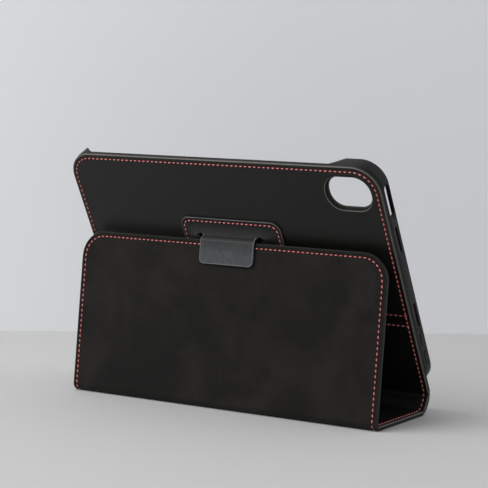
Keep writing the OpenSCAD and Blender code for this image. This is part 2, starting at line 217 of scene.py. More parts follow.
# ---- Back panel ----
# The rear face of the case: black leather turned over a board at its edges, with the lining behind it.
# The shell is bonded to the lining, and a window for the camera is cut through both.
panel_r = 15 * mm
seam_in = 2.7 * mm
seam_dip = 0.24 * mm
edge_round = 0.7 * mm
layer_nick = 0.08 * mm
mesh_step, line_step = 12 * mm, 14 * mm
corner_steps = 12
dip_reach, swell_rise, crown_rise = 0.42 * mm, 0.04 * mm, 0.1 * mm
seam_loops = [k * mm for k in (-1.2, -0.7, -0.4, -0.2, 0, 0.2, 0.4, 0.7, 1.2)]


def dip(distance):
    """How far the skin is pulled in at a distance from a seam."""
    return seam_dip * exp(-(distance / dip_reach) ** 2)


def edge_profile(layer, face, rounding=edge_round, seam=seam_in, border=0, band=0):
    """From the line between two layers, round the edge and onto the face: (inset, height, rim).
    Rim is 1 on the corner of the edge, tinted paler as worn edge paint with a painted highlight, and it can
    go on as a band.
    Below 0 it darkens: along a border, and as painted shade in the groove where a seam pulls the skin in."""
    out = 1 if face > layer else -1
    points = [(layer_nick, layer, 0), (0, layer + out * layer_nick, 0)]
    for i, worn_and_lit in enumerate((0, 0.3, 1, 1, 0.4, 0)):
        angle = radians(18 * i)
        height = face - out * rounding * (1 - sin(angle))
        points.append((rounding * (1 - cos(angle)), height, worn_and_lit))
    if band:
        points[-1] = (rounding, face, 1)
        points.append((rounding + band, face, 0))
    if seam:
        swell = (rounding + seam + seam_loops[0]) / 2
        points.append((swell, face + out * swell_rise, border))
        points += [(seam + d, face - out * dip(d), (border if d < 0 else 0) - dip(d) / seam_dip)
                   for d in seam_loops]
    return points


def rounded_loop(half_w, s0, s1, radius, inset, rows, columns, foot_radius=None):
    """Points round a panel, inset from its edge, up its left side first.
    Without a foot radius it is open at s0, where the sheet runs on into a fold."""
    top = max(radius, inset)
    foot = 0 if foot_radius is None else max(foot_radius, inset)
    side = [min(max(s, s0 + foot), s1 - top) for s in rows]
    across = [min(max(x, top - half_w), half_w - top) for x in columns]
    arc = [radians(90 * i / corner_steps) for i in range(1, corner_steps)]

    def corner(sx, s, r, start):
        centre_x, radius_now = sx * (half_w - r), r - inset
        turn = [start - a for a in arc]
        return [(centre_x + radius_now * cos(a), s + radius_now * sin(a)) for a in turn]

    points = [(inset - half_w, s) for s in side]
    points += corner(-1, s1 - top, top, pi)
    points += [(x, s1 - inset) for x in across]
    points += corner(1, s1 - top, top, pi / 2)
    points += [(half_w - inset, s) for s in reversed(side)]
    if foot_radius is not None:
        points += corner(1, s0 + foot, foot, 0)
        points += [(x, s0 + inset) for x in reversed(across)]
        points += corner(-1, s0 + foot, foot, -pi / 2)
    return points


def spread(start, end, step):
    count = max(1, round((end - start) / step))
    return [start + (end - start) * i / count for i in range(count + 1)]


def new_mesh():
    mesh = bmesh.new()
    return mesh, mesh.verts.layers.float.new("rim")


def turned(start, turn):
    """Directions along a turn, in even steps."""
    angles = [radians(start + turn * i / corner_steps) for i in range(corner_steps + 1)]
    return [(cos(angle), sin(angle)) for angle in angles]


def new_vertex(mesh, rim, place, worn_and_lit=0):
    vertex = mesh.verts.new(place)
    vertex[rim] = worn_and_lit
    return vertex


def chained(lines, closed):
    """Edges along lines of points that are numbered one after another."""
    edges, first = [], 0
    for line in lines:
        count = len(line)
        edges += [(first + i, first + (i + 1) % count) for i in range(count if closed else count - 1)]
        first += count
    return edges


def fill(mesh, rim, loops, rows, place, inside):
    """Triangles between loops of (vertex, x, s), with edges along rows of (x, s) points."""
    flat = [entry for loop in loops for entry in loop]
    coords = [Vector(entry[1:]) for entry in flat]
    edges = chained(loops, True)
    nearest = {(round(p.x, 6), round(p.y, 6)): i for i, p in enumerate(coords)}
    for row in rows:
        ids = []
        for x, s in row:
            key = (round(x, 6), round(s, 6))
            if key not in nearest:
                nearest[key] = len(coords)
                coords.append(Vector((x, s)))
            ids.append(nearest[key])
        edges += list(zip(ids, ids[1:]))
    points, _, faces, origins, _, _ = delaunay_2d_cdt(coords, edges, [], 0, 1e-8)
    made = []
    for point, origin in zip(points, origins):
        known = [i for i in origin if i < len(flat)]
        made.append(flat[known[0]][0] if known else new_vertex(mesh, rim, place(point.x, point.y)))
    for face in faces:
        x, s = (sum(points[i][k] for i in face) / len(face) for k in (0, 1))
        corners = [made[i] for i in face]
        if inside(x, s) and len(set(corners)) == len(face) and not mesh.faces.get(corners):
            mesh.faces.new(corners)


def loft(mesh, rings, closed=True):
    """Faces between rings of vertices that follow each other."""
    faces = []
    for lower, upper in zip(rings, rings[1:]):
        for i in range(len(lower) if closed else len(lower) - 1):
            k = (i + 1) % len(lower)
            faces.append(mesh.faces.new([lower[i], lower[k], upper[k], upper[i]]))
    return faces


def enclose(mesh, rings):
    """A closed body: faces across the first and last rings, and between all of them."""
    return [mesh.faces.new(rings[0]), mesh.faces.new(rings[-1])] + loft(mesh, rings)


def level(x, s):
    return 0


def skin(mesh, rim, place, half_w, s0, s1, radius, profile, rows=None, foot_radius=None, holes=(),
         relief=level, bent=False, spots=()):
    """One layer of a panel with its turned edge. The profile runs from the layer line to the face.
    A bent panel keeps a line of points across it at each row, and a drawn one has spots, on both sides."""
    rows = rows or spread(s0, s1 - radius, mesh_step)
    columns = spread(radius - half_w, half_w - radius, mesh_step)
    uneven = bent or relief is not level
    face = profile[-1][1]
    back = profile[0][1]
    closed = foot_radius is not None

    def ring(sites, height, worn_and_lit, lift=level):
        return [(new_vertex(mesh, rim, place(x, s, height + lift(x, s)), worn_and_lit), x, s) for x, s in sites]

    def vertices(rings):
        return [[vertex for vertex, _, _ in ring] for ring in rings]

    rings = [ring(rounded_loop(half_w, s0, s1, radius, inset, rows, columns, foot_radius), height, worn_and_lit,
                  relief if inset >= edge_round else level) for inset, height, worn_and_lit in profile]
    loft(mesh, vertices(rings), closed)
    face_holes, back_holes = [], []
    for hole, cut_profile in holes:
        cuts = [ring([(x + nx * away, s + ns * away) for x, s, nx, ns in hole], height, worn_and_lit)
                for away, height, worn_and_lit in cut_profile]
        loft(mesh, vertices(cuts))
        back_holes.append(cuts[0])
        face_holes.append(cuts[-1])

    def within(outline, sites):
        flat_holes = [[(x, s) for _, x, s in ring] for ring in sites]
        edge = [(x, s) for _, x, s in outline]
        return lambda x, s: contains(edge, x, s) and not any(contains(h, x, s) for h in flat_holes)

    def lines(reach):
        tops = [max(s for _, _, s in ring) for ring in face_holes]
        feet = [min(s for _, _, s in ring) for ring in face_holes]
        clear = [s for s in rows
                 if s0 < s < s1 - radius and not any(a < s < b for a, b in zip(feet, tops))]
        return [[(x, s) for x in spread(-reach, reach, line_step)] for s in clear]

    inner = rings[-1]
    for loop, cut, crossed, spot_place in (
            (inner, face_holes, uneven, lambda x, s: place(x, s, face + relief(x, s))),
            (rings[0], back_holes, bent, lambda x, s: place(x, s, back))):
        inside = within(loop, cut)
        crossing = lines(half_w - (profile[-1] if loop is inner else profile[0])[0]) if crossed else []
        crossing += [[spot] for spot in spots if inside(*spot)]
        fill(mesh, rim, [loop] + cut, crossing, spot_place, inside)
    if not closed:
        ends = [edge for edge in mesh.edges if edge.is_boundary]
        bmesh.ops.holes_fill(mesh, edges=ends, sides=0)


def contains(outline, x, s):
    inside = False
    for (x0, s0), (x1, s1) in zip(outline, outline[1:] + outline[:1]):
        if (s0 > s) != (s1 > s) and x < (x1 - x0) * (s - s0) / (s1 - s0) + x0:
            inside = not inside
    return inside


def face_out(mesh):
    """Turns the faces of each closed shell outwards, by the sign of the room that it holds."""
    left = set(mesh.faces)
    while left:
        shell = [left.pop()]
        for face in shell:
            for edge in face.edges:
                for other in edge.link_faces:
                    if other in left:
                        left.remove(other)
                        shell.append(other)
        bmesh.ops.recalc_face_normals(mesh, faces=shell)
        if sum(f.calc_center_median().dot(f.normal) * f.calc_area() for f in shell) < 0:
            bmesh.ops.reverse_faces(mesh, faces=shell)


def in_scene(name, data):
    thing = bpy.data.objects.new(name, data)
    bpy.context.scene.collection.objects.link(thing)
    return thing


def finished(mesh, name, finishes, turn=35):
    """A mesh of closed shells as an object, smooth with sharp edges where it turns."""
    bmesh.ops.remove_doubles(mesh, verts=mesh.verts, dist=0.002 * mm)
    bmesh.ops.dissolve_degenerate(mesh, edges=mesh.edges, dist=0.001 * mm)
    face_out(mesh)
    data = bpy.data.meshes.new(name)
    mesh.to_mesh(data)
    mesh.free()
    for finish in finishes:
        data.materials.append(finish)
    data.shade_smooth()
    data.set_sharp_from_angle(angle=radians(turn))
    return in_scene(name, data)


def settle(piece, body, node):
    """Says which body a piece rides on and which CAD node it replaces."""
    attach(piece, body)
    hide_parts(node)


def bridge(piece, node=None):
    """Bakes a piece's place into its mesh, on no body, and hides the CAD node that it replaces, if any."""
    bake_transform(piece)
    if node:
        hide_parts(node)


def panel(name, finish, slot, body, node, *shape, **more):
    mesh, rim = new_mesh()
    skin(mesh, rim, *shape, **more)
    settle(finished(mesh, name, [finish]), body, node)


def up_back(node):
    """How far a CAD node reaches up the back panel from the spine fold, and through it."""
    (top, foot), through = extent(node, spine_fold, BACK)
    return (-foot, -top), through


(back_foot, back_top), (back_layer, back_face) = up_back("back_leather")
back_inner = up_back("back_lining")[1][0]
half_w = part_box("back_leather")[1].x
waist_rows = (45.0 * mm, 51.5 * mm)
window_x = half_w - 19.7 * mm
window_s = back_top - 16 * mm
window_half = (13.65 * mm, 10 * mm)
window_r = 9.2 * mm


def on_back(x, s, t):
    return stretch(spine_fold, BACK)(x, -s, t)


def camera_window(step=0):
    """Points of the camera window, drawn in by a step, with the directions that lead away from it."""
    half_across, half_up, radius = window_half[0] - step, window_half[1] - step, window_r - step
    points = []
    for sx, ss, start in ((1, 1, 0), (-1, 1, 90), (-1, -1, 180), (1, -1, 270)):
        centre_x, centre_s = window_x + sx * (half_across - radius), window_s + ss * (half_up - radius)
        points += [(centre_x + radius * nx, centre_s + radius * ns, nx, ns) for nx, ns in turned(start, 90)]
    return points


def waist_relief(x, s):
    """The skin is stitched down along two rows across the panel, and stands a little between them."""
    low, high = waist_rows
    crown = crown_rise * sin(pi * (s - low) / (high - low)) if low < s < high else 0
    return crown - dip(s - low) - dip(s - high)


back_rows = sorted(spread(back_foot, back_top - panel_r, mesh_step)
                   + [row + d for row in waist_rows for d in seam_loops])
# The leather's window edge: a painted highlight line along its corner, darker at the back.
cut_edge = [(0, back_layer, -1), (0, back_face - 0.3 * mm, 0), (0.05 * mm, back_face - 0.12 * mm, 1.5),
            (0.2 * mm, back_face - 0.02 * mm, 1.5), (0.36 * mm, back_face, 0)]
back_outline = (half_w, back_foot, back_top, panel_r)
panel("back_panel_leather", leather, "leather", "holder", "back_leather",
      on_back, *back_outline, edge_profile(back_layer, back_face),
      rows=back_rows, relief=waist_relief, holes=[(camera_window(), cut_edge)])

lining_step = 0.4 * mm
# The lining's window edge: painted highlight lines at its corner, darker at the back.
lining_edge = [(0, back_inner, -1), (0, back_layer - 0.15 * mm, 0.5), (0.1 * mm, back_layer, 3)]
panel("back_panel_lining", lining, "lining", "holder", "back_lining",
      on_back, *back_outline, edge_profile(back_layer, back_inner, 0.3 * mm, seam=None),
      holes=[(camera_window(lining_step), lining_edge[::-1])])

# ---- Strips of the sheet: spine, floor and the three folds ----
# The floor lies flat on its board, and the narrow spine bows a little. Each fold between two boards is the
# same leather and lining, thinner where no board lies between them.
spine_half = 2.3 * mm
rear_half = 2.6 * mm
fold_thin = 1 / 3
layer_gap = 0.02 * mm
floor_reach = extent("floor_leather", floor_fold, FLOOR)[0]
rear_corner = floor_fold + (floor_reach[1] + rear_half) * along(FLOOR)


def across(profile, half_w):
    """A whole cross-section of one layer from the profile of its edge: (x, height, rim)."""
    left = [(inset - half_w, height, worn_and_lit) for inset, height, worn_and_lit in profile]
    return left + [(-x, height, worn_and_lit) for x, height, worn_and_lit in reversed(left)]


def sweep(mesh, rim, stations, section, finish=0):
    """A closed strip through stations of (point, heading, thickness share). The section may depend on
    the station."""
    rings = [[new_vertex(mesh, rim, point + Vector((x, 0, 0)) + share * height * outward(heading), worn_and_lit)
              for x, height, worn_and_lit in (section(i) if callable(section) else section)]
             for i, (point, heading, share) in enumerate(stations)]
    for face in enclose(mesh, rings):
        face.material_index = finish


def bend(start, turn_from, end, turn_to, steps, thin=0):
    """Stations along a smooth curve between two places and headings, thinner in its middle."""
    turn = radians(abs(turn_to - turn_from))
    pull = (end - start).length * (2 * tan(turn / 4) / sin(turn / 2) if turn else 1)
    leave, arrive = pull * along(turn_from), pull * along(turn_to)
    stations = []
    for u in spread(0, 1, 1 / steps):
        point = ((1 + 2 * u) * (1 - u) ** 2 * start + u * (1 - u) ** 2 * leave
                 + u * u * (3 - 2 * u) * end + u * u * (u - 1) * arrive)
        way = (6 * u * (u - 1) * (start - end) + (1 - u) * (1 - 3 * u) * leave + u * (3 * u - 2) * arrive)
        heading = degrees(atan2(-way.y, way.z))
        heading = turn_from + (heading - turn_from + 180) % 360 - 180
        stations.append((point, heading, 1 - thin * sin(pi * u) ** 2))
    return stations


leather_section = across(edge_profile(back_layer, back_face), half_w)
lining_section = across(edge_profile(back_layer - layer_gap, back_inner, border=-1), half_w)


def strip(name, body, path):
    """The leather and the lining of a stretch between two folds."""
    for layer, section, finish in (("leather", leather_section, leather),
                                   ("lining", lining_section, lining)):
        mesh, rim = new_mesh()
        sweep(mesh, rim, path, section)
        piece = finished(mesh, f"{name}_strip_{layer}", [finish])
        settle(piece, body, f"{name}_{layer}")


def fold(name, path):
    """A soft fold between the stretches on both sides of it."""
    mesh, rim = new_mesh()
    sweep(mesh, rim, path, leather_section, 0)
    sweep(mesh, rim, path, lining_section, 1)
    piece = finished(mesh, f"{name}_fold_strip", [fold_leather, lining], turn=50)
    bridge(piece, f"{name}_crease")


spine_bow = 13
spine_ends = [spine_fold + s * along(SPINE) for s in extent("spine_leather", spine_fold, SPINE)[0]]
floor_ends = [floor_fold + s * along(FLOOR) for s in floor_reach]
spine_path = bend(spine_ends[0], SPINE + spine_bow, spine_ends[1], SPINE - spine_bow, 6)
floor_path = bend(floor_ends[0], FLOOR, floor_ends[1], FLOOR, 1)
spine_fold_path = bend(spine_fold - spine_half * along(BACK), BACK, spine_ends[0], SPINE + spine_bow, 14,
                       fold_thin)
floor_fold_path = bend(spine_ends[1], SPINE - spine_bow, floor_ends[0], FLOOR, 14, fold_thin)
rear_fold_path = bend(floor_ends[1], FLOOR, rear_corner + rear_half * along(UPRIGHT), UPRIGHT, 14, fold_thin)

strips = (("spine", "spine", spine_path), ("floor", "floor_section", floor_path))
folds = (("spine", ("holder", "spine"), spine_fold_path),
         ("floor", ("spine", "floor_section"), floor_fold_path),
         ("rear", ("floor_section", "upright_section"), rear_fold_path))
for name, body, path in strips:
    strip(name, body, path)
for name, bodies, path in folds:
    fold(name, path)

# ---- Upright section ----
# The end of the cover, folded up as a stand. Seen from behind it shows its brushed lining.
on_upright = stretch(rear_corner, UPRIGHT)
upright_foot, upright_top = extent("upright_leather", rear_corner, UPRIGHT)[0]

upright_outline = (half_w, upright_foot, upright_top, panel_r)
panel("upright_panel_leather", leather, "leather", "upright_section", "upright_leather",
      on_upright, *upright_outline, edge_profile(back_layer, back_face))
panel("upright_panel_lining", lining, "lining", "upright_section", "upright_lining",
      on_upright, *upright_outline, edge_profile(back_layer, back_inner, border=-1))

# ---- Tab patch and tongue ----
# A leather patch stitched to the back. Its middle is cut free on three sides as a tongue, which lifts
# and hooks over the top edge of the upright, so the stand can't slide shut.
patch_t = 1.2 * mm
tongue_w = 35 * mm
flap_len = 14 * mm
tongue_r = 3 * mm
relief_r = 2.2 * mm
slit = 1.2 * mm
root_rise = 1.2 * mm
bend_half = 1.9 * mm
tab_root = Vector(joints["tab_lift"]["pos_m"])
tab_bend = Vector(joints["tab_curl"]["pos_m"])
span = tab_bend - tab_root
BRIDGE = degrees(atan2(-span.y, span.z))
FLAP = 180 + UPRIGHT
root_s = -(tab_root - spine_fold).dot(along(BACK))
(patch_foot, patch_top), (patch_under, patch_face) = up_back("tab_patch")
patch_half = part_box("tab_patch")[1].x
window_foot = root_s - span.length - flap_len - slit
patch_seam = 2.0 * mm
patch_r = 6 * mm
hole_x = tongue_w / 2 + relief_r - 0.3 * mm
draw_depth = 2.8 * mm
draw_foot = 3.2 * mm
HOOK = 136
painted_sheen_top = (tab_root + (patch_top - root_s - patch_seam) * -along(BACK)).z
painted_sheen_foot = painted_sheen_top - 17 * mm


def drawn(x, s):
    """How far the tongue draws the patch out, most at the tongue's root."""
    beside = min(1, max(0, (patch_half - patch_seam - abs(x)) / (patch_half - patch_seam - tongue_w / 2)))
    above = (s - root_s - root_rise) / (patch_top - patch_seam - root_s - root_rise)
    if above >= 0:
        share = max(0, 1 - above) ** 1.8
    else:
        share = max(0, 1 - ((root_s + root_rise - s) / draw_foot) ** 2)
    return draw_depth * share * beside * beside * (3 - 2 * beside)


def on_patch(x, s, t):
    return on_back(x, s, t + drawn(x, s))


def tongue_window():
    """The cut round the tongue, with a round relief hole at each end of it, as (x, s, away x, away s)."""
    side = tongue_w / 2 + slit
    start = acos((side - hole_x) / relief_r)
    end = pi - asin(root_rise / relief_r)
    half = [(side, window_foot, 0.7, -0.7), (side, (window_foot + root_s) / 2, 1, 0)]
    half += [(hole_x + relief_r * cos(a), root_s + relief_r * sin(a), cos(a), sin(a))
             for a in spread(-start, end, radians(15))]
    half.append((half[-1][0] - 1.5 * mm, root_s + root_rise, 0, 1))
    return half + [(-x, s, -nx, ns) for x, s, nx, ns in reversed(half)]


def mark_painted_sheen(piece):
    """Marks how much painted sheen each point of the tab gets: a paler painted reflection towards the
    tongue's tip, and painted shade on the crest of its bend, where it faces up.
    """
    values = []
    for vertex in piece.data.vertices:
        hang = min(1, max(0, (painted_sheen_top - vertex.co.z) / (painted_sheen_top - painted_sheen_foot)))
        # Painted shade: the crest of the bend, which faces up towards the light, is kept dark.
        crest = min(1, max(0, (vertex.normal.z - 0.1) / 0.6))
        values.append(hang * (1 - 0.75 * crest))
    piece.data.attributes.new("drape", "FLOAT", "POINT").data.foreach_set("value", values)


# Blue-black leather with a painted reflection that makes it paler and bluer down the tongue towards its tip,
# and rougher where there is less of it
tab_leather, tree, shader, place = new_finish("handled_leather")
streaks = add(tree, "ShaderNodeMapping", Vector=place, Scale=(1, 0.4, 0.3))
rub = noise(tree, (streaks, 0), 1200, 4, Roughness=0.6)
drape = attribute(tree, "drape")
# Painted reflection: the leather turns paler and bluer where the painted sheen is strong.
painted_sheen_curve = maths(tree, "POWER", drape, 1.9)
base = blend_colour(tree, painted_sheen_curve, (0.0078, 0.0078, 0.0074, 1), (0.059, 0.065, 0.07, 1))
rubbed = remap(tree, rub, 0.3, 0.7, 0.68, 1.32)
tone = vector_maths(tree, "SCALE", i0=base, Scale=rubbed)
worn_and_lit = worn_lit_and_shaded_edges(tree, place, tone, (0.22, 0.22, 0.21, 1))
shine = remap(tree, rub, 0.3, 0.7, 0.36, 0.52)
dull = remap(tree, drape, 0, 0.45, 0.34, 0)
height = maths(tree, "MULTIPLY_ADD", pores(tree, place, 1300), 0.6, rub)
plug(tree, shader, Base_Color=worn_and_lit, Roughness=maths(tree, "ADD", shine, dull),
     Normal=bump(tree, height, 0.3, 0.00012), Specular_IOR_Level=0.3)

patch_edge = edge_profile(patch_under, patch_face, 0.4 * mm, patch_seam)
slit_edge = [(0, patch_under, 0.6), (0, patch_face - 0.2 * mm, 0.6),
             (0.06 * mm, patch_face - 0.06 * mm, 0.6), (0.2 * mm, patch_face, 0)]
spot_gap = 1.5 * mm
spot_half = patch_half - patch_seam - spot_gap
drawn_spots = [(x, s) for s in spread(root_s - draw_foot, patch_top - patch_seam - spot_gap, 1.1 * mm)
               for x in spread(-spot_half, spot_half, spot_gap)]
mesh, rim = new_mesh()
skin(mesh, rim, on_patch, patch_half, patch_foot, patch_top, patch_r, patch_edge, foot_radius=0.8 * mm,
     holes=[(tongue_window(), slit_edge)], spots=drawn_spots)
for vertex in mesh.verts:
    along_s = -(vertex.co - spine_fold).dot(along(BACK))
    if abs(along_s - root_s - root_rise) < slit / 4 and abs(vertex.co.x) < hole_x - relief_r / 2:
        vertex[rim] = 0
tab_patch = finished(mesh, "tab_patch_leather", [tab_leather])
# The patch gets the painted reflection too, paler towards the tongue's root.
mark_painted_sheen(tab_patch)
settle(tab_patch, "holder", "tab_patch")

bend_radius = bend_half / tan(radians((FLAP - BRIDGE) / 2))
bend_end = tab_bend + bend_half * along(FLAP)
bend_centre = bend_end - bend_radius * outward(FLAP)
hook_start = bend_centre + bend_radius * outward(HOOK)
patch_middle = (patch_under + patch_face) / 2
root_lap = 0.35 * mm
root_start = on_patch(0, root_s + root_rise + root_lap, patch_middle)
draw_slope = degrees(atan((drawn(0, root_s + root_rise) - drawn(0, root_s + 1.2 * root_rise))
                                    / (0.2 * root_rise)))
root_steps = 10
root_path = bend(root_start, BACK - draw_slope, hook_start, HOOK, root_steps)
tongue_face = patch_t / 2 + 0.02 * mm
tongue_under = 0.04 * mm - patch_t / 2
# The band along the tongue's edge is a painted highlight.
tongue_profile = edge_profile(tongue_under, tongue_face, 0.35 * mm, seam=None, band=0.3 * mm)


def tongue_half(s):
    """Half the tongue's width at a height over its root, where the relief holes bite into it."""
    bite = relief_r ** 2 - s ** 2
    return min(tongue_w / 2, hole_x - sqrt(bite)) if bite > 0 else tongue_w / 2


root_length = (hook_start - root_start).length
mesh, rim = new_mesh()
sweep(mesh, rim, root_path,
      lambda i: across(tongue_profile, tongue_half(root_rise + root_lap - root_length * i / root_steps)))
tongue_root = finished(mesh, "tongue_root", [tab_leather])
mark_painted_sheen(tongue_root)
bridge(tongue_root, "tab_bridge")

arc = bend_radius * radians(FLAP - HOOK)
tip_s = arc + flap_len - bend_half


def on_tongue(x, s, t):
    """Follows the tongue round its bend over the upright and down the flap."""
    if s <= arc:
        return bend_centre + Vector((x, 0, 0)) + (bend_radius + t) * outward(HOOK + (FLAP - HOOK) * s / arc)
    return bend_end + Vector((x, 0, 0)) + (s - arc) * along(FLAP) + t * outward(FLAP)


mesh, rim = new_mesh()
skin(mesh, rim, on_tongue, tongue_half(root_rise - root_length), 0, tip_s, tongue_r, tongue_profile,
     rows=spread(0, arc, 0.3 * mm) + spread(arc + 0.5 * mm, tip_s - tongue_r, 3 * mm), bent=True)
tongue_flap = finished(mesh, "tongue_flap", [tab_leather])
mark_painted_sheen(tongue_flap)
bridge(tongue_flap, "tab_flap")

# ---- Moulded shell ----
# A flexible TPU tray, bonded to the back panel, that the tablet snaps into. Its lip holds the screen's edge,
# and its walls are cut away for the camera, the stylus, the buttons, the speakers and the charging port.
tpu, tree, shader, place = new_finish("satin_tpu")
mottle = noise(tree, place, 55, 4)
spark = noise(tree, place, 2600, 2)
tone = blend_colour(tree, mottle, (0.0044, 0.0043, 0.0034, 1), (0.0066, 0.0064, 0.0052, 1))
# Paler edges, partly wear and partly painted highlight.
worn_and_lit = worn_lit_and_shaded_edges(tree, place, tone, (0.055, 0.053, 0.05, 1), amount=0.7)
plug(tree, shader, Base_Color=worn_and_lit, Roughness=remap(tree, spark, 0.3, 0.7, 0.42, 0.58),
     Normal=bump(tree, spark, 0.18, 0.00005), Specular_IOR_Level=0.26)

(shell_foot, shell_top), (shell_rim, shell_back) = up_back("shell")
shell_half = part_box("shell")[1].x
shell_mid = (shell_top + shell_foot) / 2
shell_r = 13.4 * mm
wall = 1.5 * mm
floor_t, lip_t, lip_reach, rim_step = 0.8 * mm, 0.6 * mm, 1.2 * mm, 0.4 * mm
bay_floor = shell_back - floor_t
lip_under = shell_rim + lip_t
lip_inset = wall + lip_reach
floor_inset = 8 * mm
slot_t = (bay_floor + lip_under) / 2
heel = 0.8 * mm


def shell_profile():
    """From the middle of the back, round the heel, up the wall, over the lip and down into the bay."""
    points = [(floor_inset, shell_back, 0)]
    for i in range(5):
        angle = radians(22.5 * i)
        points.append((heel * (1 - sin(angle)), shell_back - heel * (1 - cos(angle)), 0))
    # Rim values on the step and the lip's corners tint them paler, partly wear and partly painted highlight.
    step = shell_rim + rim_step
    points += [(0, step + 0.5 * mm, 0), (0.1 * mm, step + 0.2 * mm, 0.3), (0.4 * mm, step, 0),
               (0.42 * mm, step - 0.12 * mm, 0), (0.55 * mm, shell_rim + 0.07 * mm, 1),
               (0.8 * mm, shell_rim, 0.5), (lip_inset - 0.4 * mm, shell_rim, 0.5),
               (lip_inset - 0.1 * mm, shell_rim + 0.1 * mm, 1), (lip_inset, shell_rim + 0.3 * mm, 0),
               (lip_inset, lip_under, 0), (wall, lip_under, 0), (wall, bay_floor + 0.5 * mm, 0),
               (wall + 0.15 * mm, bay_floor + 0.15 * mm, 0), (wall + 0.5 * mm, bay_floor, 0),
               (floor_inset, bay_floor, 0)]
    return points


def prism(mesh, outline, place, *ends):
    """A closed body between two copies of an outline."""
    enclose(mesh, [[mesh.verts.new(place(u, v, end)) for u, v in outline] for end in ends])


def stadium(centre, length, width):
    """A slot with round ends, long along s."""
    reach, r = (length - width) / 2, width / 2
    return [(centre + side * reach + r * ns, r * nt)
            for side, start in ((1, 0), (-1, 180)) for nt, ns in turned(start, 180)]


def side_cut(mesh, side, centre, length, width):
    """A slot through the left (-1) or right (1) wall."""
    prism(mesh, stadium(shell_mid + centre, length, width), lambda s, t, x: on_back(x, s, slot_t + t),
          side * (shell_half - wall - 1 * mm), side * (shell_half + 1 * mm))


pad_l = 8.6 * mm
pad_w = 2.6 * mm
pad_air = 0.2 * mm
pads_mid, pads_apart = -44.5, 11.4
pads_at = [(pads_mid + side * pads_apart / 2) * mm for side in (1, -1)]
pad_boxes = [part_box(node) for node in ("volume_up", "volume_down")]
flange_t = 0.4 * mm
flange_over = 0.5 * mm
flange_x = pad_boxes[0][0].x

mesh, rim = new_mesh()
rings = []
rows = spread(shell_foot + shell_r, shell_top - shell_r, mesh_step)
columns = spread(shell_r - shell_half, shell_half - shell_r, mesh_step)
for inset, height, worn_and_lit in shell_profile():
    loop = rounded_loop(shell_half, shell_foot, shell_top, shell_r, inset, rows, columns, shell_r)
    rings.append([new_vertex(mesh, rim, on_back(x, s, height), worn_and_lit) for x, s in loop])
enclose(mesh, rings)
shell = finished(mesh, "moulded_shell", [tpu], turn=30)

cuts, _ = new_mesh()
window_step = 1.0 * mm
shell_window = camera_window(window_step)
prism(cuts, [(x, s) for x, s, _, _ in shell_window], on_back, shell_back + 0.2 * mm, bay_floor - 0.2 * mm)

gap_right = 70 * mm
gap_left = 84 * mm
gap_ramp = 9 * mm
gap_depth = 2.6 * mm
ramp = [(gap_ramp * k, bay_floor + (shell_rim - bay_floor) * (0.6 * k + 0.2 * (1 - cos(pi * k))))
        for k in spread(0, 1, 0.1)]
ramp.append((gap_ramp, shell_rim - 1 * mm))
outline = [(gap_right + x, t) for x, t in ramp] + [(-gap_left - x, t) for x, t in reversed(ramp)]
prism(cuts, outline, lambda x, t, s: on_back(x, s, t), shell_top - lip_inset - gap_depth, shell_top + 1 * mm)
button_s, button_l, button_w = 47 * mm, 18.5 * mm, 4.8 * mm
port_l, port_w = 13 * mm, 4.8 * mm
speaker_s, speaker_l, speaker_w = 23.5 * mm, 15 * mm, 1.8 * mm
side_cut(cuts, 1, button_s, button_l, button_w)
side_cut(cuts, -1, 0, port_l, port_w)
for side in (-1, 1):
    for centre in (-speaker_s, speaker_s):
        side_cut(cuts, side, centre, speaker_l, speaker_w)
for centre in pads_at:
    side_cut(cuts, 1, centre, pad_l + 2 * pad_air, pad_w + 2 * pad_air)
face_out(cuts)
cutter_mesh = bpy.data.meshes.new("shell_cuts")
cuts.to_mesh(cutter_mesh)
cuts.free()
cutter = in_scene("shell_cuts", cutter_mesh)


def modify(piece, kind, **settings):
    modifier = piece.modifiers.new(kind.lower(), kind)
    for name, value in settings.items():
        setattr(modifier, name, value)


def plain_mesh(piece):
    """Applies a piece's modifiers, and returns the mesh that it then has."""
    piece_mesh = piece.evaluated_get(bpy.context.evaluated_depsgraph_get())
    made = bpy.data.meshes.new_from_object(piece_mesh)
    piece.modifiers.clear()
    piece.data = made
    return made


modify(shell, "BOOLEAN", object=cutter, solver="EXACT", use_self=True)
modify(shell, "BEVEL", width=0.18 * mm, segments=2, limit_method="ANGLE", angle_limit=radians(50),
       miter_outer="MITER_ARC")
result = plain_mesh(shell)
# A ring round the camera window on the shell's face gets a strong rim value: a painted highlight along the
# window's edge.
rim_reach = 0.3 * mm
window_rim = [(x + rim_reach * nx, s + rim_reach * ns) for x, s, nx, ns in shell_window]
for vertex, mark in zip(result.vertices, result.attributes["rim"].data):
    place = vertex.co - spine_fold
    on_face = place.dot(outward(BACK)) > shell_back - 0.1 * mm
    if on_face and contains(window_rim, place.x, -place.dot(along(BACK))):
        mark.value = 2
result.shade_smooth()
result.set_sharp_from_angle(angle=radians(30))
bpy.data.objects.remove(cutter)
settle(shell, "holder", "shell")

